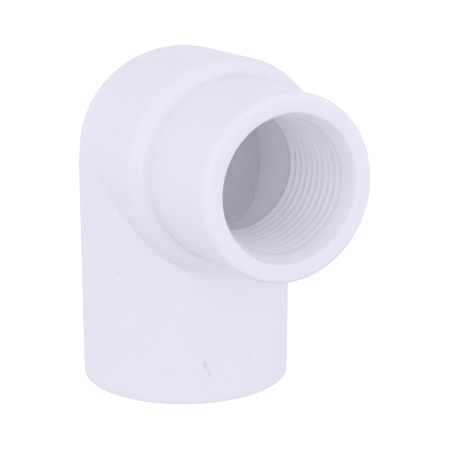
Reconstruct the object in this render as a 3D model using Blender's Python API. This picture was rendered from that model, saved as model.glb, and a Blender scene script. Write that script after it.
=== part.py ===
"""Reducing elbow in white PVC: slip socket for 1 in pipe underneath, 3/4 in tapered pipe thread at the side.

The fitting is one injection moulding. It stands on its socket face: the origin is the bottom centre of its
box, +Z runs up the socket's axis, and +X is the way that the threaded hub points.
"""

import math

import bmesh
import bpy
import numpy as np
from mathutils import Vector

MM = 0.001

# Outside of the moulding. The two hubs' axes cross at right angles, and reaches are measured from there.
BODY_RADIUS = 20.95 * MM        # both hubs where their axes cross, and the ball at the back of the bend
SOCKET_REACH = 45.4 * MM        # to the socket face
THREAD_REACH = 40.9 * MM        # to the thread face
SOCKET_DRAFT = 0.002            # radius that the socket hub loses per unit of length away from the crossing
SHOULDER_REACH = 20.8 * MM      # to the step down from the body to the threaded hub
SHOULDER_ROUND = 2.7 * MM       # the side of the body narrows slightly towards it
SHOULDER_FILLET = 0.7 * MM
THREAD_HUB_RADIUS = 17.15 * MM  # at the shoulder
THREAD_HUB_DRAFT = 0.0255
THREAD_HUB_ROUND = 0.9 * MM
SOCKET_EDGE_ROUND = 0.4 * MM

# Slip socket, 1 in nominal: it takes pipe of 33.4 mm outside diameter.
SOCKET_DEPTH = 27.9 * MM
SOCKET_MOUTH_RADIUS = 16.83 * MM
SOCKET_END_RADIUS = 16.64 * MM
SOCKET_CHAMFER = 0.6 * MM
WATERWAY_RADIUS = 15.1 * MM

# Tapered female pipe thread, 3/4 in nominal, 14 threads per inch, right-handed.
THREAD_PITCH = 25.4 * MM / 14
THREAD_TAPER = 1 / 32           # on the radius
THREAD_CREST_RADIUS = 12.05 * MM  # at the thread face
THREAD_DEPTH = 1.2 * MM
THREAD_TURNS = 9
THREAD_START = 4.26 * MM        # first crest behind the thread face, at the top of the bore
LEAD_IN_RADIUS = 13.3 * MM      # at the thread face
LEAD_IN_SLOPE = 0.417
LEAD_IN_END = 2.2 * MM
SIDE_BORE_RADIUS = 11.9 * MM    # plain bore between the thread and the crossing
SIDE_BORE_START = 21.4 * MM     # behind the thread face
CREST_HALF_WIDTH = 0.08         # in pitches
ROOT_HALF_WIDTH = 0.03
RUN_OUT_TURNS = 0.5             # stretch over which the groove comes to its depth, and leaves it

# Steps of the mesh.
OUTSIDE_COLUMNS = 64
SOCKET_COLUMNS = 48
THREAD_COLUMNS = 40
BEND_ROWS = 9
ROUND_ROWS = 5
EDGE_ROWS = 3
DOME_ROWS = 7
DOME_TOP_DEG = 84               # the dome's last ring, closed by a small flat
SHARP_EDGE_DEG = 35
BELOW_BEND = 1.1 * BODY_RADIUS  # a ring below the place where the hubs meet
CUTTER_OVERSHOOT = 1.5 * MM
SAME_POINT = 1e-4 * MM
STRAIGHT_SIDE = 1e-6            # a cosine this small is a column at the side, on the bend's pivot

# From the crossing of the axes to the origin, the bottom centre of the box.
CROSSING = Vector(((BODY_RADIUS - THREAD_REACH) / 2, 0, SOCKET_REACH))


def clear_scene():
    for item in list(bpy.data.objects):
        bpy.data.objects.remove(item)


def arc(center, radius, start_deg, end_deg, steps):
    """Points of an arc in a two-number plane, both ends included."""
    points = []
    for step in range(steps + 1):
        angle = math.radians(start_deg + (end_deg - start_deg) * step / steps)
        points.append((center[0] + radius * math.cos(angle), center[1] + radius * math.sin(angle)))
    return points


def side_outline():
    """Outline of the body's side and the threaded hub: (distance along the side axis, radius)."""
    hub_radius = THREAD_HUB_RADIUS
    fillet_center = (SHOULDER_REACH + SHOULDER_FILLET, hub_radius + SHOULDER_FILLET)
    round_center = (SHOULDER_REACH - SHOULDER_ROUND, fillet_center[1])
    end_radius = hub_radius - THREAD_HUB_DRAFT * (THREAD_REACH - SHOULDER_REACH)
    edge_center = (THREAD_REACH - THREAD_HUB_ROUND, end_radius - THREAD_HUB_ROUND)
    outline = [(0.0, BODY_RADIUS)]
    outline += arc(round_center, SHOULDER_ROUND, 90, 0, ROUND_ROWS)
    outline += arc(fillet_center, SHOULDER_FILLET, 180, 270, EDGE_ROWS)[1:]
    outline += arc(edge_center, THREAD_HUB_ROUND, 90, 0, EDGE_ROWS)
    return outline


def side_radius(x, outline):
    """Radius of the side outline at a distance x from the crossing."""
    return float(np.interp(x, [point[0] for point in outline], [point[1] for point in outline]))


def socket_radius(z):
    return BODY_RADIUS + SOCKET_DRAFT * z


def meeting_height(angle, outline):
    """Height at which the socket hub's column at this angle runs into the side of the body."""
    def clearance(z):
        radius = socket_radius(z)
        x = radius * math.cos(angle)
        y = radius * math.sin(angle)
        return y * y + z * z - side_radius(x, outline) ** 2

    if math.cos(angle) < STRAIGHT_SIDE or clearance(0.0) >= 0:
        return 0.0
    low, high = -BELOW_BEND, 0.0
    halvings = 50
    for _ in range(halvings):
        middle = (low + high) / 2
        if clearance(middle) > 0:
            low = middle
        else:
            high = middle
    return (low + high) / 2


def outside_column(angle, outline):
    """Points of one column of the outside, from the socket face, round the bend, to the thread face."""
    cosine, sine = math.cos(angle), math.sin(angle)
    column = []
    edge_radius = socket_radius(-SOCKET_REACH) - SOCKET_EDGE_ROUND
    edge_height = SOCKET_EDGE_ROUND - SOCKET_REACH
    hub = arc((edge_radius, edge_height), SOCKET_EDGE_ROUND, -90, 0, EDGE_ROWS)
    hub.append((socket_radius(-BELOW_BEND), -BELOW_BEND))
    for radius, z in hub:
        column.append((radius * cosine, radius * sine, z))
    top = meeting_height(angle, outline)
    x = socket_radius(top) * cosine
    y = socket_radius(top) * sine
    for row in range(BEND_ROWS + 1):
        turn = math.radians(90 * row / BEND_ROWS) if cosine < -STRAIGHT_SIDE else 0.0
        column.append((x * math.cos(turn), y, top - x * math.sin(turn)))
    side_angle = math.atan2(y, -top) if cosine > STRAIGHT_SIDE else angle
    for reach, radius in outline[1:]:
        if cosine > STRAIGHT_SIDE and reach <= x:
            column.append(column[-1])
        else:
            column.append((reach, radius * math.sin(side_angle), -radius * math.cos(side_angle)))
    return column


def add_faces(bm, loops):
    """Adds the faces given as loops of vertices, without the corners that fall together."""
    for loop in loops:
        corners = []
        for vertex in loop:
            if vertex not in corners:
                corners.append(vertex)
        if len(corners) > 2:
            bm.faces.new(corners)


def bridge_columns(bm, columns):
    """Closed skin between columns that go round, capped at both ends. Equal neighbours share a vertex."""
    grid = []
    for column in columns:
        vertices = []
        for place, point in enumerate(column):
            if place and (Vector(point) - Vector(column[place - 1])).length < SAME_POINT:
                vertices.append(vertices[-1])
            else:
                vertices.append(bm.verts.new(point))
        grid.append(vertices)
    for index, here in enumerate(grid):
        beside = grid[(index + 1) % len(grid)]
        add_faces(bm, [(here[row], beside[row], beside[row + 1], here[row + 1])
                       for row in range(len(here) - 1)])
    add_faces(bm, [[vertices[0] for vertices in reversed(grid)], [vertices[-1] for vertices in grid]])


def make_object(name, bm, material=None):
    """Object from a bmesh that was modelled about the crossing of the axes."""
    bmesh.ops.translate(bm, verts=bm.verts, vec=CROSSING)
    bmesh.ops.recalc_face_normals(bm, faces=bm.faces)
    mesh = bpy.data.meshes.new(name)
    bm.to_mesh(mesh)
    bm.free()
    mesh.shade_smooth()
    mesh.set_sharp_from_angle(angle=math.radians(SHARP_EDGE_DEG))
    if material:
        mesh.materials.append(material)
    item = bpy.data.objects.new(name, mesh)
    bpy.context.scene.collection.objects.link(item)
    return item


def white_pvc():
    material = bpy.data.materials.new("white_pvc")
    material.use_nodes = True
    shader = material.node_tree.nodes["Principled BSDF"]
    shader.inputs["Base Color"].default_value = (0.80, 0.79, 0.87, 1)
    shader.inputs["Roughness"].default_value = 0.32
    shader.inputs["Metallic"].default_value = 0.0
    return material


def outside(material):
    """The whole outside of the elbow as one solid body."""
    bm = bmesh.new()
    outline = side_outline()
    angles = [2 * math.pi * step / OUTSIDE_COLUMNS for step in range(OUTSIDE_COLUMNS)]
    bridge_columns(bm, [outside_column(angle, outline) for angle in angles])
    return make_object("elbow_body", bm, material)


def as_cutter(item, body):
    item.hide_render = True
    item.display_type = "WIRE"
    cut = body.modifiers.new(item.name, "BOOLEAN")
    cut.operation = "DIFFERENCE"
    cut.solver = "EXACT"
    cut.object = item


def socket_core():
    """Inside of the socket and of the waterway above it, which ends in a dome at the back of the bend."""
    face = -SOCKET_REACH
    outline = [
        (SOCKET_MOUTH_RADIUS + SOCKET_CHAMFER + CUTTER_OVERSHOOT, face - CUTTER_OVERSHOOT),
        (SOCKET_MOUTH_RADIUS, face + SOCKET_CHAMFER),
        (SOCKET_END_RADIUS, face + SOCKET_DEPTH),
        (WATERWAY_RADIUS, face + SOCKET_DEPTH),
    ]
    outline += arc((0, 0), WATERWAY_RADIUS, 0, DOME_TOP_DEG, DOME_ROWS)
    columns = []
    for step in range(SOCKET_COLUMNS):
        angle = 2 * math.pi * step / SOCKET_COLUMNS
        columns.append([(radius * math.cos(angle), radius * math.sin(angle), z) for radius, z in outline])
    bm = bmesh.new()
    bridge_columns(bm, columns)
    return make_object("socket_core", bm)


def eased(value):
    value = min(max(value, 0.0), 1.0)
    return value * value * (3 - 2 * value)


def thread_point(turn, height, share):
    """Point on the threaded core. turn counts pitches, height is 0 on a crest and 1 in a groove's root, and
    share is the part of a whole turn, seen from the mouth anticlockwise from the top."""
    depth = THREAD_START + THREAD_PITCH * (turn - share)
    crest = max(THREAD_CREST_RADIUS - THREAD_TAPER * depth, LEAD_IN_RADIUS - LEAD_IN_SLOPE * depth)
    from_start = math.floor(turn + 0.2) + 1 - share
    from_end = THREAD_TURNS - from_start
    reached = eased(from_start / RUN_OUT_TURNS) * eased(from_end / RUN_OUT_TURNS)
    return core_point(depth, crest + THREAD_DEPTH * height * reached, share)


def core_point(depth, radius, share):
    angle = math.pi / 2 + 2 * math.pi * share
    return (THREAD_REACH - depth, radius * math.cos(angle), radius * math.sin(angle))


def thread_rows():
    """The rows along the thread's profile, as (turn, height): both edges of each crest and of each root."""
    rows = []
    for turn in range(THREAD_TURNS):
        rows.append((turn - CREST_HALF_WIDTH, 0.0))
        rows.append((turn + CREST_HALF_WIDTH, 0.0))
        rows.append((turn + 0.5 - ROOT_HALF_WIDTH, 1.0))
        rows.append((turn + 0.5 + ROOT_HALF_WIDTH, 1.0))
    rows.append((THREAD_TURNS - CREST_HALF_WIDTH, 0.0))
    rows.append((THREAD_TURNS + CREST_HALF_WIDTH, 0.0))
    return rows


def thread_core():
    """Inside of the threaded hub: lead-in cone, helical thread, and the plain bore that meets the waterway."""
    bm = bmesh.new()
    rows = thread_rows()
    rows_per_turn = 4
    shares = [step / THREAD_COLUMNS for step in range(THREAD_COLUMNS)]
    winding = [[bm.verts.new(thread_point(turn, height, share)) for turn, height in rows] for share in shares]
    # A whole turn on, a row lies one pitch further out: it is a row of the first column, or above it.
    above = [bm.verts.new(thread_point(turn, height, 1.0)) for turn, height in rows[:rows_per_turn]]
    winding.append(above + winding[0][:-rows_per_turn])
    for here, beside in zip(winding, winding[1:]):
        add_faces(bm, [(here[row], beside[row], beside[row + 1], here[row + 1]) for row in range(len(rows) - 1)])

    slope_radius = LEAD_IN_RADIUS - LEAD_IN_SLOPE * LEAD_IN_END
    outer_radius = LEAD_IN_RADIUS + LEAD_IN_SLOPE * CUTTER_OVERSHOOT
    rings = []
    for depth, radius in ((-CUTTER_OVERSHOOT, outer_radius), (LEAD_IN_END, slope_radius),
                          (SIDE_BORE_START, SIDE_BORE_RADIUS), (THREAD_REACH, SIDE_BORE_RADIUS)):
        ring = [bm.verts.new(core_point(depth, radius, share)) for share in shares]
        rings.append(ring + ring[:1])
    for index in range(THREAD_COLUMNS):
        for outer, inner in ((rings[0], rings[1]), (rings[2], rings[3])):
            add_faces(bm, [(outer[index], outer[index + 1], inner[index + 1], inner[index])])
        first = [winding[index + 1][0], winding[index][0]]
        if index == 0:
            first += reversed(above)
        add_faces(bm, [[rings[1][index], rings[1][index + 1]] + first])
        last = [winding[index][-1], winding[index + 1][-1]]
        if index == THREAD_COLUMNS - 1:
            last += winding[0][-rows_per_turn:]
        add_faces(bm, [last + [rings[2][index + 1], rings[2][index]]])
    add_faces(bm, [rings[0][:-1], list(reversed(rings[3][:-1]))])
    return make_object("thread_core", bm)


def build():
    clear_scene()
    body = outside(white_pvc())
    as_cutter(socket_core(), body)
    as_cutter(thread_core(), body)


build()
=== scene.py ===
"""Looks of the white PVC reducing elbow: the fine moulded surface, its plastic, floor, light and camera."""

import math

import bmesh
import bpy
import numpy as np
from mathutils import Matrix, Vector


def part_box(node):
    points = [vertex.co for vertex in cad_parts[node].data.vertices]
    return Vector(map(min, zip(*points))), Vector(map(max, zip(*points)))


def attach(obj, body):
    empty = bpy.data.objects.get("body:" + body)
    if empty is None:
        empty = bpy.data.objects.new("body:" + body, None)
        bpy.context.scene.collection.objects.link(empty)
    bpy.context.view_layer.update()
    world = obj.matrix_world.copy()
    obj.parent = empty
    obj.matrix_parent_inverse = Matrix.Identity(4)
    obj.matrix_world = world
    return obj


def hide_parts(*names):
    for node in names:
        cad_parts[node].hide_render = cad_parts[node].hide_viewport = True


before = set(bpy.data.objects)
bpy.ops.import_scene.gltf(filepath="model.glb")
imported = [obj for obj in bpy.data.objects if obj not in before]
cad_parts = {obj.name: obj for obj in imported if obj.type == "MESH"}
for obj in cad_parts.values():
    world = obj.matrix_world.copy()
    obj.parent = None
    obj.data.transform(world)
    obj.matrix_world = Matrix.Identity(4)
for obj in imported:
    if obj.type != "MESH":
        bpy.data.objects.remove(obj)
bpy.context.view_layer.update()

MM = 0.001
NODE = "elbow_body"

# ---------------------------------------------------------------- sizes, in millimetres from the crossing
# The two hubs' axes cross in the bend. The CAD body's box gives the crossing and the reach of both hubs.
box_low, box_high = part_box(NODE)
BODY_RADIUS = (box_high.y - box_low.y) / 2 / MM
CROSSING = Vector((box_low.x + BODY_RADIUS * MM, 0.0, box_high.z - BODY_RADIUS * MM))
SOCKET_REACH = (CROSSING.z - box_low.z) / MM
THREAD_REACH = (box_high.x - CROSSING.x) / MM

SOCKET_DRAFT = 0.002            # radius lost per millimetre away from the crossing
SOCKET_EDGE_ROUND = 0.4
BEND_STEP = 0.2                 # the bend is this much smaller than the top of the socket's hub
BEND_STEP_RUN = 0.8
SIDE_DIP = 0.4                  # the lower half of the body's side lies this much deeper than its top
SIDE_DIP_RUN = 5.0              # height over which that dip comes in, below the side axis
SIDE_DIP_END = 17.8             # where it has gone again, before the shoulder
SIDE_DIP_FADE = 4.0
SHOULDER_REACH = 20.8
SHOULDER_RADIUS = 20.48
SHOULDER_ROUND = 2.7
SHOULDER_FILLET = 0.6
THREAD_HUB_RADIUS = 17.15       # at the shoulder
THREAD_FACE_RADIUS = 16.64      # at the thread face
THREAD_HUB_ROUND = 0.9
VALLEY_FILLET = 1.0             # reach of the fillet where the two hubs' outsides meet, at its widest
VALLEY_FADE = 1.3               # how fast that fillet narrows towards the sides
EDGE_WAVE = 0.05                # unevenness of the threaded hub's outer edge
EDGE_WAVE_BEHIND = 0.5          # distance of its middle from the thread face
EDGE_WAVE_REACH = 0.5

SOCKET_DEPTH = 27.9
SOCKET_MOUTH_RADIUS = 16.83
SOCKET_END_RADIUS = 16.64
SOCKET_CHAMFER = 0.6
SOCKET_CORNER_ROUND = 0.12
CHAMFER_ROUND = 0.2
LEDGE_ROUND = 0.15
WATERWAY_RADIUS = 15.1
WATERWAY_EDGE_ROUND = 0.35      # where the side bore breaks into the waterway
WATERWAY_SWING = 3.0            # drop over which the columns below that edge swing back to their own angles

THREAD_PITCH = 25.4 / 14
THREAD_TAPER = 1 / 32
THREAD_CREST_RADIUS = 12.05     # at the thread face
THREAD_DEPTH = 1.2
THREAD_TURNS = 9
THREAD_START = 4.26             # first crest behind the thread face, at the top of the bore
LEAD_IN_RADIUS = 13.3
LEAD_IN_SLOPE = 0.417
LEAD_IN_END = 2.2
MOUTH_ROUND = 0.2
SIDE_BORE_RADIUS = 11.9
SIDE_BORE_START = 21.4
RUN_OUT_TURNS = 0.5

# Distances round one pitch of the thread at which the profile has a row: 0 is a crest, 0.5 a root.
CREST_EDGE = 0.08
ROOT_EDGE = 0.46
HALF_PITCH_ROWS = (0.0, 0.025, 0.05, 0.075, 0.1, 0.125, 0.16, 0.3, 0.38, 0.41, 0.435, 0.46)
CREST_ROUND = 0.2               # share of the thread's depth over which crest and root turn into the flank
ROOT_ROUND = 0.16
LAST_CREST_ROWS = (0.0, 0.05, 0.08, 0.14, 0.22, 0.3)
LAST_CREST_BACK = 0.2           # share of a pitch in which the last crest falls to the side bore

# Steps of the mesh.
COLUMNS = 240
SOCKET_ROWS = 24
VALLEY_ROWS = 26
BEND_ROWS = 30
SIDE_ROWS = 78
HUB_ROWS = 14
FACE_ROWS = 6
LEAD_IN_ROWS = 4
BORE_ROWS = 18
WATERWAY_ROWS = 56
HUB_START = 27.0                # past the farthest reach of the fillet between the two hubs
BELOW_BEND = 23.5
CORNER_ROWS = 7
# How rows crowd round a place: (reach, weight).
MEETING_CROWD = (1.2, 6)
SHOULDER_CROWD = (2.6, 5)
ROOT_CROWD = (1.0, 8)
BORE_EDGE_CROWD = (0.6, 8)
WATERWAY_EDGE_CROWD = (0.6, 14)
HALVINGS = 50
PLAIN_MITER_COSINE = 0.1        # columns nearer to the side than this end at the plain miter
PLAIN_MITER_FADE = 0.3
FILLET_MARGIN = 0.5             # rows this near to the ends of the fillet's zone stay where they are
AXIS_MARGIN = 0.05
BORE_EDGE_ZONE = (3, 17, -16)   # lowest x, highest x and lowest z of the rounded edge of the waterway
MERGE_DISTANCE = 0.012
SLIVER = 0.002


# ---------------------------------------------------------------- outlines
def rounded(corners, steps=CORNER_ROWS):
    """Outline through (along, radius, rounding) corners, with an arc at each corner that has a rounding."""
    points = []
    for index, (along, radius, rounding) in enumerate(corners):
        here = np.array((along, radius))
        if not rounding or index in (0, len(corners) - 1):
            points.append(here)
            continue
        back = np.array(corners[index - 1][:2]) - here
        ahead = np.array(corners[index + 1][:2]) - here
        back /= np.linalg.norm(back)
        ahead /= np.linalg.norm(ahead)
        half = math.acos(float(np.clip(back @ ahead, -1, 1))) / 2
        bisector = (back + ahead) / np.linalg.norm(back + ahead)
        center = here + bisector * rounding / math.sin(half)
        start = here + back * rounding / math.tan(half) - center
        end = here + ahead * rounding / math.tan(half) - center
        sweep = math.atan2(start[0] * end[1] - start[1] * end[0], start @ end)
        for step in range(steps + 1):
            angle = sweep * step / steps
            cosine, sine = math.cos(angle), math.sin(angle)
            points.append(center + (start[0] * cosine - start[1] * sine, start[0] * sine + start[1] * cosine))
    return np.array(points)


def run_length(points):
    """Distance along a row of points, from its first."""
    return np.concatenate([[0.0], np.cumsum(np.linalg.norm(np.diff(points, axis=0), axis=1))])


def along_outline(points, places):
    """Points at the given distances along an outline or a path."""
    length = run_length(points)
    return np.stack([np.interp(places, length, points[:, axis]) for axis in range(points.shape[1])], 1)


def spaced(start, end, count, spots=()):
    """count + 1 values from start to end, closer together round each (place, reach, weight) spot."""
    fine = np.linspace(start, end, 600)
    density = np.ones_like(fine)
    for place, reach, weight in spots:
        density += weight * np.exp(-((fine - place) / reach) ** 2)
    total = np.concatenate([[0.0], np.cumsum((density[1:] + density[:-1]) / 2)])
    return np.interp(np.linspace(0, total[-1], count + 1), total, fine)


SIDE_OUTLINE = rounded([
    (0.0, BODY_RADIUS - BEND_STEP, 0),
    (SHOULDER_REACH, SHOULDER_RADIUS, SHOULDER_ROUND),
    (SHOULDER_REACH, THREAD_HUB_RADIUS, SHOULDER_FILLET),
    (THREAD_REACH, THREAD_FACE_RADIUS, 0),
], steps=16)


def eased(value):
    """0 up to 0, 1 from 1 on, and a smooth rise in between."""
    value = np.clip(value, 0.0, 1.0)
    return value * value * (3 - 2 * value)


def blended(first, second, reach):
    """The smaller of two distances, with a fillet where they come within reach of each other."""
    reach = np.maximum(reach, 1e-6)
    overlap = np.maximum(reach - np.abs(first - second), 0) / reach
    return np.minimum(first, second) - overlap ** 2 * reach / 4


def side_radius(x):
    return np.interp(x, SIDE_OUTLINE[:, 0], SIDE_OUTLINE[:, 1])


def side_dip(x, z):
    """How much deeper than the side outline the side of the body lies."""
    return SIDE_DIP * eased(-z / SIDE_DIP_RUN) * eased((SIDE_DIP_END - x) / SIDE_DIP_FADE)


def socket_radius(z):
    return BODY_RADIUS + SOCKET_DRAFT * z - BEND_STEP * eased(1 + z / BEND_STEP_RUN)


# ---------------------------------------------------------------- columns and rows
ANGLES = np.radians(np.arange(COLUMNS) * 360 / COLUMNS)
COS, SIN = np.cos(ANGLES), np.sin(ANGLES)
COS[np.abs(COS) < 1e-9] = 0.0
SIN[np.abs(SIN) < 1e-9] = 0.0
FRONT = COS > 1e-6              # columns on the inside of the bend
TOP_COLUMN = COLUMNS // 2


def turned_z(radius, z):
    """A ring about the socket's axis."""
    return np.stack([radius * COS, radius * SIN, np.full_like(COS, z)], 1)


def turned_x(radius, x):
    """A ring about the side axis, with the same columns."""
    return np.stack([np.full_like(COS, x), radius * SIN, -radius * COS], 1)


def meeting_heights():
    """Height at which each front column of the socket hub runs into the side of the body, by halving.

    Beside the bend the two surfaces are nearly level, so the columns there take the plain miter's height.
    """
    low, high = np.full_like(COS, -BELOW_BEND), np.zeros_like(COS)
    for _ in range(HALVINGS):
        z = (low + high) / 2
        radius = socket_radius(z)
        side = side_radius(radius * COS) - side_dip(radius * COS, z)
        outside = (radius * SIN) ** 2 + z ** 2 > side ** 2
        low, high = np.where(outside, z, low), np.where(outside, high, z)
    miter = -BODY_RADIUS * COS
    share = eased((COS - PLAIN_MITER_COSINE) / PLAIN_MITER_FADE)
    return np.where(FRONT, miter + (high - miter) * share, 0.0)


def socket_hub_rings():
    """Rings of the socket's hub, from its rounded edge to below the bend."""
    edge = rounded([
        (-SOCKET_REACH, socket_radius(-SOCKET_REACH) - 1, 0),
        (-SOCKET_REACH, socket_radius(-SOCKET_REACH), SOCKET_EDGE_ROUND),
        (-BELOW_BEND, socket_radius(-BELOW_BEND), 0),
    ])[1:-1]
    rings = [turned_z(radius, z) for z, radius in edge]
    for z in np.linspace(edge[-1][0], -BELOW_BEND, SOCKET_ROWS + 1)[1:]:
        rings.append(turned_z(socket_radius(z), z))
    return rings


def bend_rings():
    """Rings from below the bend to where the hubs meet in front, and round the bend at the back."""
    tops = meeting_heights()
    heights = np.stack([spaced(-BELOW_BEND, top, VALLEY_ROWS, [(top, *MEETING_CROWD)]) for top in tops])
    rings = []
    for row in range(1, VALLEY_ROWS + 1):
        z = heights[:, row]
        rings.append(np.stack([socket_radius(z) * COS, socket_radius(z) * SIN, z], 1))
    x, y, _ = rings[-1].T
    for row in range(1, BEND_ROWS + 1):
        turn = np.where(FRONT, 0.0, math.pi / 2 * row / BEND_ROWS)
        rings.append(np.stack([x * np.cos(turn), y, tops - x * np.sin(turn)], 1))
    return rings, (x, y, tops)


def side_rings(meeting_points):
    """Rings of the side of the body, the shoulder and the start of the threaded hub."""
    x, y, tops = meeting_points
    side_angles = np.where(FRONT, np.arctan2(y, -tops), ANGLES)
    length = run_length(SIDE_OUTLINE)
    meeting = np.where(FRONT, np.interp(x, SIDE_OUTLINE[:, 0], length), 0.0)
    hub_start = np.interp(HUB_START, SIDE_OUTLINE[:, 0], length)
    shoulder = np.interp(SHOULDER_REACH - SHOULDER_ROUND / 2, SIDE_OUTLINE[:, 0], length)
    root = np.interp(SHOULDER_REACH + SHOULDER_FILLET / 2, SIDE_OUTLINE[:, 0], length)
    places = []
    for start, front in zip(meeting, FRONT):
        spots = [(shoulder, *SHOULDER_CROWD), (root, *ROOT_CROWD)]
        if front:
            spots.append((start, *MEETING_CROWD))
        places.append(spaced(start, hub_start, SIDE_ROWS, spots))
    places = np.stack(places)
    rings = []
    for row in range(1, SIDE_ROWS + 1):
        x, radius = along_outline(SIDE_OUTLINE, places[:, row]).T
        radius = radius - side_dip(x, -radius * np.cos(side_angles))
        rings.append(np.stack([x, radius * np.sin(side_angles), -radius * np.cos(side_angles)], 1))
    return rings, side_angles


def outside_rings():
    """Rings of the outside, from the socket face, round the bend, to the start of the threaded hub."""
    bend, meeting_points = bend_rings()
    side, side_angles = side_rings(meeting_points)
    return socket_hub_rings() + bend + side, side_angles


def edge_wave(angle):
    """Unevenness of the threaded hub's outer edge, round the hub."""
    return EDGE_WAVE * (np.sin(9 * angle + 1) + np.sin(23 * angle + 2) + np.sin(41 * angle)) / 3


def hub_end_rings(side_angles):
    """Rings of the threaded hub's end: its side, rounded edge, face, mouth and lead-in cone."""
    start_radius = float(side_radius(HUB_START))
    outline = rounded([
        (HUB_START, start_radius, 0),
        (THREAD_REACH, THREAD_FACE_RADIUS, THREAD_HUB_ROUND),
        (THREAD_REACH, LEAD_IN_RADIUS, MOUTH_ROUND),
        (THREAD_REACH - LEAD_IN_END, LEAD_IN_RADIUS - LEAD_IN_SLOPE * LEAD_IN_END, 0),
    ])
    length = run_length(outline)
    corner = CORNER_ROWS + 1
    places = list(np.linspace(0, length[1], HUB_ROWS + 1)[1:])
    places += list(length[2:corner + 1])
    places += list(np.linspace(length[corner], length[corner + 1], FACE_ROWS + 1)[1:])
    places += list(length[corner + 2:2 * corner + 1])
    places += list(np.linspace(length[2 * corner], length[-1], LEAD_IN_ROWS + 1)[1:])
    rings = []
    for x, radius in along_outline(outline, np.array(places)):
        outer = radius > (THREAD_FACE_RADIUS + LEAD_IN_RADIUS) / 2
        angle = side_angles if outer else ANGLES
        if outer:
            behind = THREAD_REACH - x - EDGE_WAVE_BEHIND
            radius = radius + edge_wave(angle) * math.exp(-(behind / EDGE_WAVE_REACH) ** 2)
        rings.append(np.stack([np.full_like(COS, x), radius * np.sin(angle), -radius * np.cos(angle)], 1))
    return rings


# ---------------------------------------------------------------- thread
def thread_turns():
    """Rows of the winding, in pitches: the profile's rows for each turn, and the last crest with its back."""
    one = list(HALF_PITCH_ROWS) + [0.5] + [1 - place for place in reversed(HALF_PITCH_ROWS[1:])]
    rows = [turn + place for turn in range(THREAD_TURNS) for place in one]
    rows += [THREAD_TURNS + place for place in LAST_CREST_ROWS]
    return np.array(rows), len(one)


def thread_points(turns, share):
    """Points of the thread's rows at one angle.

    share is the part of a turn from the top, anticlockwise as seen from outside the mouth.
    """
    depth = THREAD_START + THREAD_PITCH * (turns - share)
    crest = np.maximum(THREAD_CREST_RADIUS - THREAD_TAPER * depth, LEAD_IN_RADIUS - LEAD_IN_SLOPE * depth)
    part = turns - np.floor(turns)
    flank = (np.minimum(part, 1 - part) - CREST_EDGE) / (ROOT_EDGE - CREST_EDGE)
    height = blended(-blended(-flank, 0, CREST_ROUND), 1, ROOT_ROUND)
    from_start = np.floor(turns) + 1 - share
    reached = eased(from_start / RUN_OUT_TURNS) * eased((THREAD_TURNS - from_start) / RUN_OUT_TURNS)
    radius = crest + THREAD_DEPTH * height * reached
    behind = turns > THREAD_TURNS
    back = eased((turns - THREAD_TURNS - CREST_EDGE) / LAST_CREST_BACK)
    radius = np.where(behind, crest + (SIDE_BORE_RADIUS - crest) * back, radius)
    angle = math.pi / 2 + 2 * math.pi * share
    return np.stack([THREAD_REACH - depth, radius * math.cos(angle), radius * math.sin(angle)], 1)


# ---------------------------------------------------------------- inside of the bend and socket
def front_path(meeting, angle):
    """Path down the waterway's round wall, swinging from the bore's edge to the column's own angle."""
    x, y, z = meeting
    turned = math.atan2(y, x)
    if angle > math.pi:
        turned += 2 * math.pi
    if angle < 1e-9:
        turned = 0.0
    share = np.linspace(0, 1, 40)[:, None]
    way = turned + (angle - turned) * share
    drop = -WATERWAY_SWING * math.cos(angle)
    return np.hstack([WATERWAY_RADIUS * np.cos(way), WATERWAY_RADIUS * np.sin(way), z + drop * share])


def back_path(meeting, foot):
    """Path over the waterway's dome, along a great circle, from the bore's edge to the dome's foot."""
    share = np.linspace(0, 1, 40)[:, None]
    spread = math.acos(np.clip(meeting @ foot / WATERWAY_RADIUS ** 2, -1, 1))
    return (np.sin((1 - share) * spread) * meeting + np.sin(share * spread) * foot) / math.sin(spread)


def bore_and_waterway_rings():
    """Rings of the plain side bore, over its edge into the waterway, and down to the socket's ledge."""
    meet_y, meet_z = SIDE_BORE_RADIUS * SIN, -SIDE_BORE_RADIUS * COS
    dome_x = math.sqrt(WATERWAY_RADIUS ** 2 - SIDE_BORE_RADIUS ** 2)
    meet_x = np.where(FRONT, np.sqrt(WATERWAY_RADIUS ** 2 - meet_y ** 2), dome_x)
    start = THREAD_REACH - SIDE_BORE_START
    xs = np.stack([spaced(start, x, BORE_ROWS, [(x, *BORE_EDGE_CROWD)]) for x in meet_x])
    rings = [np.stack([xs[:, row], meet_y, meet_z], 1) for row in range(1, BORE_ROWS + 1)]

    ledge = SOCKET_DEPTH - SOCKET_REACH + LEDGE_ROUND
    paths = []
    for index, meeting in enumerate(np.stack([meet_x, meet_y, meet_z], 1)):
        if FRONT[index]:
            path = front_path(meeting, ANGLES[index])
        else:
            path = back_path(meeting, WATERWAY_RADIUS * np.array((COS[index], SIN[index], 0.0)))
        x, y, z = path[-1]
        down = [(x, y, height) for height in np.linspace(z, ledge, 30)[1:]]
        path = np.vstack([path, down])
        places = spaced(0, run_length(path)[-1], WATERWAY_ROWS, [(0, *WATERWAY_EDGE_CROWD)])
        paths.append(along_outline(path, places))
    paths = np.stack(paths)
    return rings + [paths[:, row] for row in range(1, WATERWAY_ROWS + 1)]


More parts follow.
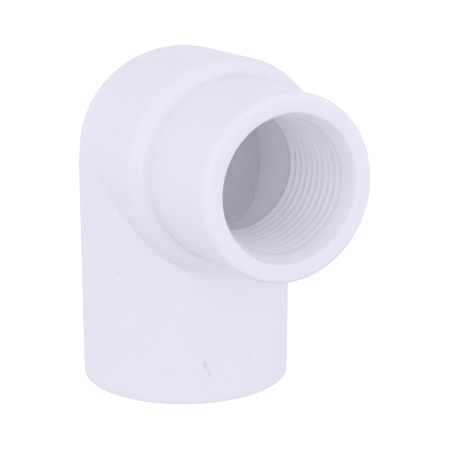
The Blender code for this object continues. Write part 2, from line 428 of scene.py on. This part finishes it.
def socket_rings():
    """Rings of the socket: ledge, tapered wall, entrance chamfer, and the face out to its rounded edge."""
    face = -SOCKET_REACH
    ledge = face + SOCKET_DEPTH
    outline = rounded([
        (ledge + 1, WATERWAY_RADIUS, 0),
        (ledge, WATERWAY_RADIUS, LEDGE_ROUND),
        (ledge, SOCKET_END_RADIUS, SOCKET_CORNER_ROUND),
        (face + SOCKET_CHAMFER, SOCKET_MOUTH_RADIUS, CHAMFER_ROUND),
        (face, SOCKET_MOUTH_RADIUS + SOCKET_CHAMFER, SOCKET_CORNER_ROUND),
        (face, socket_radius(face) - SOCKET_EDGE_ROUND, 0),
    ], steps=4)[2:]
    length = run_length(outline)
    places = []
    for start, end in zip(length, length[1:]):
        places += list(np.linspace(start, end, max(2, int(end - start) + 1))[:-1])
    return [turned_z(radius, z) for z, radius in along_outline(outline, np.array(places))]


# ---------------------------------------------------------------- fillets by distance
def outline_distance(points):
    """Signed distance of points from the side outline turned about the side axis, outside positive."""
    radius = np.hypot(points[:, 1], points[:, 2]) + side_dip(points[:, 0], points[:, 2])
    flat = np.stack([points[:, 0], radius], 1)
    starts, ends = SIDE_OUTLINE[:-1], SIDE_OUTLINE[1:]
    best = np.full(len(flat), np.inf)
    for start, end in zip(starts, ends):
        way = end - start
        share = np.clip((flat - start) @ way / max(way @ way, 1e-12), 0, 1)
        best = np.minimum(best, np.linalg.norm(flat - start - share[:, None] * way, axis=1))
    return np.where(flat[:, 1] > side_radius(flat[:, 0]), best, -best)


def openness(points):
    """0 where the surfaces round the two axes run on in one direction, 1 where they meet square."""
    about_z = np.hypot(points[:, 0], points[:, 1])
    about_x = np.hypot(points[:, 1], points[:, 2])
    return 1 - points[:, 1] ** 2 / np.maximum(about_z * about_x, 1e-9)


def outside_distance(points):
    socket = np.hypot(points[:, 0], points[:, 1]) - socket_radius(points[:, 2])
    return blended(socket, outline_distance(points), VALLEY_FILLET * openness(points) ** VALLEY_FADE)


def waterway_distance(points):
    upright = np.where(points[:, 2] > 0, np.linalg.norm(points, axis=1), np.hypot(points[:, 0], points[:, 1]))
    bore = np.hypot(points[:, 1], points[:, 2]) - SIDE_BORE_RADIUS
    return blended(upright - WATERWAY_RADIUS, bore, 2 * WATERWAY_EDGE_ROUND * openness(points))


def settle(rings, distance, chosen, passes=4):
    """Moves the chosen points of some rings onto the surface where the distance is nothing."""
    points = np.stack(rings)
    mask = chosen(points)
    moved = points[mask]
    step = 1e-3
    for _ in range(passes):
        slope = np.stack([(distance(moved + step * axis) - distance(moved - step * axis)) / (2 * step)
                          for axis in np.eye(3)], 1)
        moved = moved - distance(moved)[:, None] * slope / np.maximum((slope ** 2).sum(1), 1e-6)[:, None]
    points[mask] = moved
    return list(points)


# ---------------------------------------------------------------- body mesh
def near_fillet(points):
    """Where the outside may lie on the fillet between the two hubs."""
    x, z = points[..., 0], points[..., 2]
    below_axes = (x > AXIS_MARGIN) & (z < -AXIS_MARGIN)
    return below_axes & (z > FILLET_MARGIN - BELOW_BEND) & (x < HUB_START - FILLET_MARGIN)


def near_bore_edge(points):
    """Where the inside may lie on the rounded edge of the waterway."""
    x, z = points[..., 0], points[..., 2]
    low_x, high_x, low_z = BORE_EDGE_ZONE
    return (x > low_x) & (x < high_x) & (z > low_z)


class Skin:
    """Points and faces of the moulding while it is put together."""

    def __init__(self):
        self.points = []
        self.faces = []
        self.count = 0

    def add(self, rings):
        """Adds rows of points, and returns their numbers as a grid."""
        self.points.extend(rings)
        size = sum(len(ring) for ring in rings)
        grid = np.arange(self.count, self.count + size).reshape(len(rings), -1)
        self.count += size
        return grid

    def join(self, here, there):
        """Faces between two closed rings."""
        corners = np.stack([here, np.roll(here, -1), np.roll(there, -1), there], 1)
        self.faces.extend(corners.tolist())

    def add_face(self, corners):
        self.faces.append([int(corner) for corner in corners])


def add_thread(skin, mouth_ring, bore_ring):
    """The winding thread between the lead-in cone's last ring and the side bore's first.

    It starts at the top column and goes once round. A whole turn on, each row has moved one pitch outwards,
    onto the rows of the first column and a few above them.
    """
    turns, per_turn = thread_turns()
    order = [(TOP_COLUMN + step) % COLUMNS for step in range(COLUMNS)]
    shares = [((ANGLES[index] - math.pi) / (2 * math.pi)) % 1.0 for index in order]
    winding = list(skin.add([thread_points(turns, share) for share in shares]))
    above = skin.add([thread_points(turns[:per_turn], 1.0)])[0]
    winding.append(np.concatenate([above, winding[0][:-per_turn]]))
    for here, beside in zip(winding, winding[1:]):
        corners = np.stack([here[:-1], here[1:], beside[1:], beside[:-1]], 1)
        skin.faces.extend(corners.tolist())
    for step in range(COLUMNS):
        column, following = order[step], order[(step + 1) % COLUMNS]
        first = [winding[step + 1][0], winding[step][0]]
        if step == 0:
            first += list(above[::-1])
        skin.add_face([mouth_ring[column], mouth_ring[following]] + first)
        last = [winding[step][-1], winding[step + 1][-1]]
        if step == COLUMNS - 1:
            last += list(winding[0][-per_turn:])
        skin.add_face(last + [bore_ring[following], bore_ring[column]])


def finished_mesh(skin):
    """The skin as a mesh, with rows that fall together merged."""
    vertices = np.concatenate(skin.points) * MM + np.array(CROSSING)
    mesh = bpy.data.meshes.new("elbow_moulding")
    mesh.from_pydata(vertices.tolist(), [], skin.faces)
    bm = bmesh.new()
    bm.from_mesh(mesh)
    bmesh.ops.remove_doubles(bm, verts=bm.verts, dist=MERGE_DISTANCE * MM)
    bmesh.ops.dissolve_degenerate(bm, edges=bm.edges, dist=SLIVER * MM)
    bmesh.ops.recalc_face_normals(bm, faces=bm.faces)
    loose = [v for v in bm.verts if not v.link_faces]
    bmesh.ops.delete(bm, geom=loose, context="VERTS")
    bm.to_mesh(mesh)
    bm.free()
    mesh.shade_smooth()
    return mesh


def body_mesh():
    """One closed mesh: rings over the outside, in through the thread and out of the socket."""
    outer, side_angles = outside_rings()
    outer = settle(outer, outside_distance, near_fillet) + hub_end_rings(side_angles)
    inner = settle(bore_and_waterway_rings(), waterway_distance, near_bore_edge)
    inner = [turned_x(SIDE_BORE_RADIUS, THREAD_REACH - SIDE_BORE_START)] + inner + socket_rings()
    skin = Skin()
    outer_grid = skin.add(outer)
    inner_grid = skin.add(inner)
    for grid in (outer_grid, inner_grid):
        for here, there in zip(grid, grid[1:]):
            skin.join(here, there)
    skin.join(inner_grid[-1], outer_grid[0])
    add_thread(skin, outer_grid[-1], inner_grid[0])
    return finished_mesh(skin)


# ---------------------------------------------------------------- material
class Shading:
    """Short calls for building one material's node tree."""

    def __init__(self, name):
        self.material = bpy.data.materials.new(name)
        self.material.use_nodes = True
        self.tree = self.material.node_tree
        self.shader = self.tree.nodes["Principled BSDF"]

    def node(self, kind, inputs=None, **settings):
        node = self.tree.nodes.new(kind)
        for name, value in settings.items():
            setattr(node, name, value)
        for name, value in (inputs or {}).items():
            if isinstance(value, bpy.types.NodeSocket):
                self.tree.links.new(value, node.inputs[name])
            else:
                node.inputs[name].default_value = value
        return node

    def link(self, output, name):
        self.tree.links.new(output, self.shader.inputs[name])

    def noise(self, place, scale, detail=2.0):
        inputs = {"Vector": place, "Scale": scale, "Detail": detail}
        return self.node("ShaderNodeTexNoise", inputs).outputs["Fac"]

    def remap(self, value, low, high, to_low, to_high):
        inputs = {"Value": value, "From Min": low, "From Max": high, "To Min": to_low, "To Max": to_high}
        return self.node("ShaderNodeMapRange", inputs).outputs["Result"]

    def math(self, operation, first, second):
        return self.node("ShaderNodeMath", {0: first, 1: second}, operation=operation).outputs[0]

    def mix(self, factor, first, second):
        node = self.node("ShaderNodeMix", {0: factor, 6: first, 7: second}, data_type="RGBA")
        return node.outputs[2]

    def stretched(self, place, scale, turn=(0, 0, 0), move=(0, 0, 0)):
        inputs = {"Vector": place, "Scale": scale, "Rotation": turn, "Location": move}
        return self.node("ShaderNodeMapping", inputs, vector_type="TEXTURE").outputs["Vector"]


PVC_WHITE = (0.865, 0.855, 0.925, 1)
PVC_GREYER = (0.845, 0.836, 0.906, 1)
PVC_SCUFFED = (0.62, 0.61, 0.69, 1)
PVC_IOR = 1.53
TRANSLUCENCY = 0.8
TRANSLUCENCY_DEPTH = 2.2 * MM

# Features of the plastic to the metre, and how much longer the streaks are along the socket's axis.
CLOUD_SCALE = 70
HANDLING_SCALE = 110
SPECK_SCALE = 140
STREAK_SCALE = 500
GRAIN_SCALE = 900
STREAK_STRETCH = 6
GRAIN_DEPTH = 0.003 * MM
WAVE_DEPTH = 0.03 * MM
NICK_DEPTH = 0.15 * MM
SMOOTHEST, ROUGHEST = 0.2, 0.3

# Nicks on the outside: (angle about the socket's axis in degrees, millimetres above the socket face,
# width, height, lean in degrees, darkness).
NICKS = (
    (-16.0, 7.8, 0.5, 1.2, 14, 0.9),
    (-14.0, 6.2, 0.5, 0.8, 16, 0.7),
    (10.0, 8.5, 0.35, 1.0, 0, 0.3),
    (-63.7, 25.1, 0.9, 0.35, 0, 0.6),
    (-88.5, 22.7, 0.5, 1.2, 0, 0.45),
    (128.0, 17.5, 0.4, 1.3, -20, 0.6),
    (171.0, 31.0, 0.8, 0.4, 8, 0.5),
)


def nick_mask(shade, place):
    """1 in the middle of each nick, falling to 0 at its edge."""
    total = None
    for angle, height, width, tall, lean, darkness in NICKS:
        turn = math.radians(angle)
        radius = socket_radius(height - SOCKET_REACH) * MM
        spot = (CROSSING.x + radius * math.cos(turn), radius * math.sin(turn), height * MM)
        size = (2 * MM, width * MM, tall * MM)
        local = shade.stretched(place, size, (math.radians(lean), 0, turn), spot)
        ball = shade.node("ShaderNodeTexGradient", {"Vector": local}, gradient_type="SPHERICAL")
        mask = shade.remap(ball.outputs["Fac"], 0.0, 0.6, 0.0, darkness)
        total = mask if total is None else shade.math("MAXIMUM", total, mask)
    return total


def pvc_material():
    """White rigid PVC as it leaves the mould: satin, slightly translucent, faintly clouded and streaked."""
    shade = Shading("white_pvc_moulded")
    place = shade.node("ShaderNodeTexCoord").outputs["Object"]
    clouds = shade.noise(place, CLOUD_SCALE)
    along_hub = shade.stretched(place, (1, 1, STREAK_STRETCH))
    streaks = shade.noise(along_hub, STREAK_SCALE)
    grain = shade.noise(place, GRAIN_SCALE)
    nicks = nick_mask(shade, place)

    clouded = shade.remap(shade.math("ADD", clouds, streaks), 0.75, 1.25, 0.0, 1.0)
    colour = shade.mix(clouded, PVC_WHITE, PVC_GREYER)
    speck_cells = shade.node("ShaderNodeTexVoronoi", {"Vector": place, "Scale": SPECK_SCALE})
    speck = shade.remap(speck_cells.outputs["Distance"], 0.0, 0.035, 0.25, 0.0)
    colour = shade.mix(speck, colour, PVC_SCUFFED)
    colour = shade.mix(nicks, colour, PVC_SCUFFED)
    shade.link(colour, "Base Color")

    handled = shade.noise(place, HANDLING_SCALE, detail=3.0)
    shade.link(shade.remap(handled, 0.3, 0.7, SMOOTHEST, ROUGHEST), "Roughness")

    fine = shade.node("ShaderNodeBump", {"Height": grain, "Strength": 0.25, "Distance": GRAIN_DEPTH})
    waves = shade.node("ShaderNodeBump", {"Height": clouds, "Strength": 0.3, "Distance": WAVE_DEPTH,
                                          "Normal": fine.outputs["Normal"]})
    dents = shade.node("ShaderNodeBump", {"Height": nicks, "Strength": 0.6, "Distance": NICK_DEPTH,
                                          "Normal": waves.outputs["Normal"]}, invert=True)
    shade.link(dents.outputs["Normal"], "Normal")

    inputs = shade.shader.inputs
    inputs["IOR"].default_value = PVC_IOR
    inputs["Subsurface Weight"].default_value = TRANSLUCENCY
    inputs["Subsurface Radius"].default_value = (1.0, 1.0, 1.0)
    inputs["Subsurface Scale"].default_value = TRANSLUCENCY_DEPTH
    return shade.material


# ---------------------------------------------------------------- stage, light and camera
TABLE_DARKER = (0.92, 0.92, 0.92, 1)
TABLE_LIGHTER = (0.96, 0.96, 0.96, 1)
TABLE_GRAIN_SCALE = 40
TABLE_GLOW = 0.85
FLOOR_HALF_WIDTH = 3.0
DAYLIGHT = (0.942, 0.926, 1.128)        # a cool white
# Brightness of the surroundings by the height of the direction, from straight down (-1) to straight up (1).
SURROUNDINGS = ((-1.0, 0.0), (-0.5, 0.63), (0.0, 0.77), (0.5, 0.71), (1.0, 0.5))
# Softboxes: (name, azimuth, elevation, width and height in metres, brightness), all at one distance.
SOFTBOXES = (
    ("front_softbox", 63.7, 4, 0.5, 0.5, 0.88),
    ("left_softbox", -12, 15, 0.15, 0.8, 0.75),
    ("right_softbox", 115, 25, 0.45, 0.45, 0.38),
)
SOFTBOX_DISTANCE = 0.7
CAMERA_AZIMUTH = 63.719
CAMERA_ELEVATION = 10.658
CAMERA_ROLL = 0.248
CAMERA_DISTANCE = 246.5 * MM
SENSOR_WIDTH = 36.0
LENS = 99.31
# Where the crossing of the axes lies from the middle of the view, as slopes to the right and up.
CROSSING_RIGHT = -0.03244
CROSSING_UP = 0.06005


def direction(azimuth, elevation):
    """Unit vector from the object. Azimuth 0 is in front, along -Y, and 90 on the right, along +X."""
    turn, rise = math.radians(azimuth), math.radians(elevation)
    return Vector((math.sin(turn) * math.cos(rise), -math.cos(turn) * math.cos(rise), math.sin(rise)))


def floor_material():
    """A matt white light table, with a trace of grain."""
    shade = Shading("light_table")
    place = shade.node("ShaderNodeTexCoord").outputs["Object"]
    grain = shade.noise(place, TABLE_GRAIN_SCALE, detail=3.0)
    shade.link(shade.mix(grain, TABLE_DARKER, TABLE_LIGHTER), "Base Color")
    shade.shader.inputs["Roughness"].default_value = 0.9
    shade.shader.inputs["Emission Color"].default_value = (1, 1, 1, 1)
    shade.shader.inputs["Emission Strength"].default_value = TABLE_GLOW
    shade.material.cycles.emission_sampling = "NONE"
    return shade.material


def add_floor():
    """The floor neither lights nor shades the body: the light from below comes from the surroundings."""
    bm = bmesh.new()
    bmesh.ops.create_grid(bm, x_segments=1, y_segments=1, size=FLOOR_HALF_WIDTH)
    mesh = bpy.data.meshes.new("floor")
    bm.to_mesh(mesh)
    bm.free()
    floor = bpy.data.objects.new("floor", mesh)
    floor.location.z = box_low.z
    floor.visible_diffuse = False
    floor.visible_glossy = False
    floor.visible_shadow = False
    mesh.materials.append(floor_material())
    bpy.context.scene.collection.objects.link(floor)


def add_surroundings():
    """Light from all round, that changes with the height of its direction only."""
    world = bpy.data.worlds.new("soft_studio")
    bpy.context.scene.world = world
    world.use_nodes = True
    tree = world.node_tree
    place = tree.nodes.new("ShaderNodeTexCoord")
    split = tree.nodes.new("ShaderNodeSeparateXYZ")
    height = tree.nodes.new("ShaderNodeMapRange")
    ramp = tree.nodes.new("ShaderNodeValToRGB")
    height.inputs["From Min"].default_value = -1.0
    tree.links.new(place.outputs["Generated"], split.inputs[0])
    tree.links.new(split.outputs["Z"], height.inputs["Value"])
    tree.links.new(height.outputs["Result"], ramp.inputs["Fac"])
    tree.links.new(ramp.outputs["Color"], tree.nodes["Background"].inputs["Color"])
    elements = ramp.color_ramp.elements
    elements.remove(elements[-1])
    for index, (z, brightness) in enumerate(SURROUNDINGS):
        element = elements.new((z + 1) / 2) if index else elements[0]
        element.position = (z + 1) / 2
        element.color = [brightness * channel for channel in DAYLIGHT] + [1]


def add_softboxes():
    """Area lights that face the crossing of the axes."""
    for name, azimuth, elevation, width, height, brightness in SOFTBOXES:
        towards = direction(azimuth, elevation)
        light = bpy.data.lights.new(name, "AREA")
        light.shape = "RECTANGLE"
        light.size = width
        light.size_y = height
        light.energy = brightness * math.pi * width * height
        light.color = DAYLIGHT
        lamp = bpy.data.objects.new(name, light)
        lamp.location = CROSSING + towards * SOFTBOX_DISTANCE
        lamp.rotation_euler = towards.to_track_quat("Z", "Y").to_euler()
        bpy.context.scene.collection.objects.link(lamp)


def add_camera():
    """Stands to the right of the front, a little above the axes, and aims off their crossing."""
    back = direction(CAMERA_AZIMUTH, CAMERA_ELEVATION)
    right = direction(CAMERA_AZIMUTH + 90, 0)
    up = back.cross(right)
    level = Matrix((right, up, back)).transposed() @ Matrix.Rotation(math.radians(-CAMERA_ROLL), 3, "Z")
    straight = Vector((0, 0, -1))
    aside = straight.rotation_difference(Vector((CROSSING_RIGHT, CROSSING_UP, -1)))
    rotation = level @ aside.to_matrix().transposed()
    lens = bpy.data.cameras.new("camera")
    lens.sensor_width = SENSOR_WIDTH
    lens.lens = LENS
    lens.clip_start = 0.01
    camera = bpy.data.objects.new("camera", lens)
    bpy.context.scene.collection.objects.link(camera)
    camera.matrix_world = Matrix.Translation(CROSSING + back * CAMERA_DISTANCE) @ rotation.to_4x4()
    bpy.context.scene.camera = camera


def set_view():
    """A soft, high-key picture: the tones are lifted, so whites lie close together."""
    view = bpy.context.scene.view_settings
    view.view_transform = "Standard"
    view.look = "None"
    view.exposure = 0.0
    view.gamma = 2.0


def add_body():
    """The moulding, which stands for the CAD body."""
    body = bpy.data.objects.new("elbow_moulding", body_mesh())
    body.data.materials.append(pvc_material())
    bpy.context.scene.collection.objects.link(body)
    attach(body, "root")
    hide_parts(NODE)


add_body()
add_floor()
add_surroundings()
add_softboxes()
add_camera()
set_view()
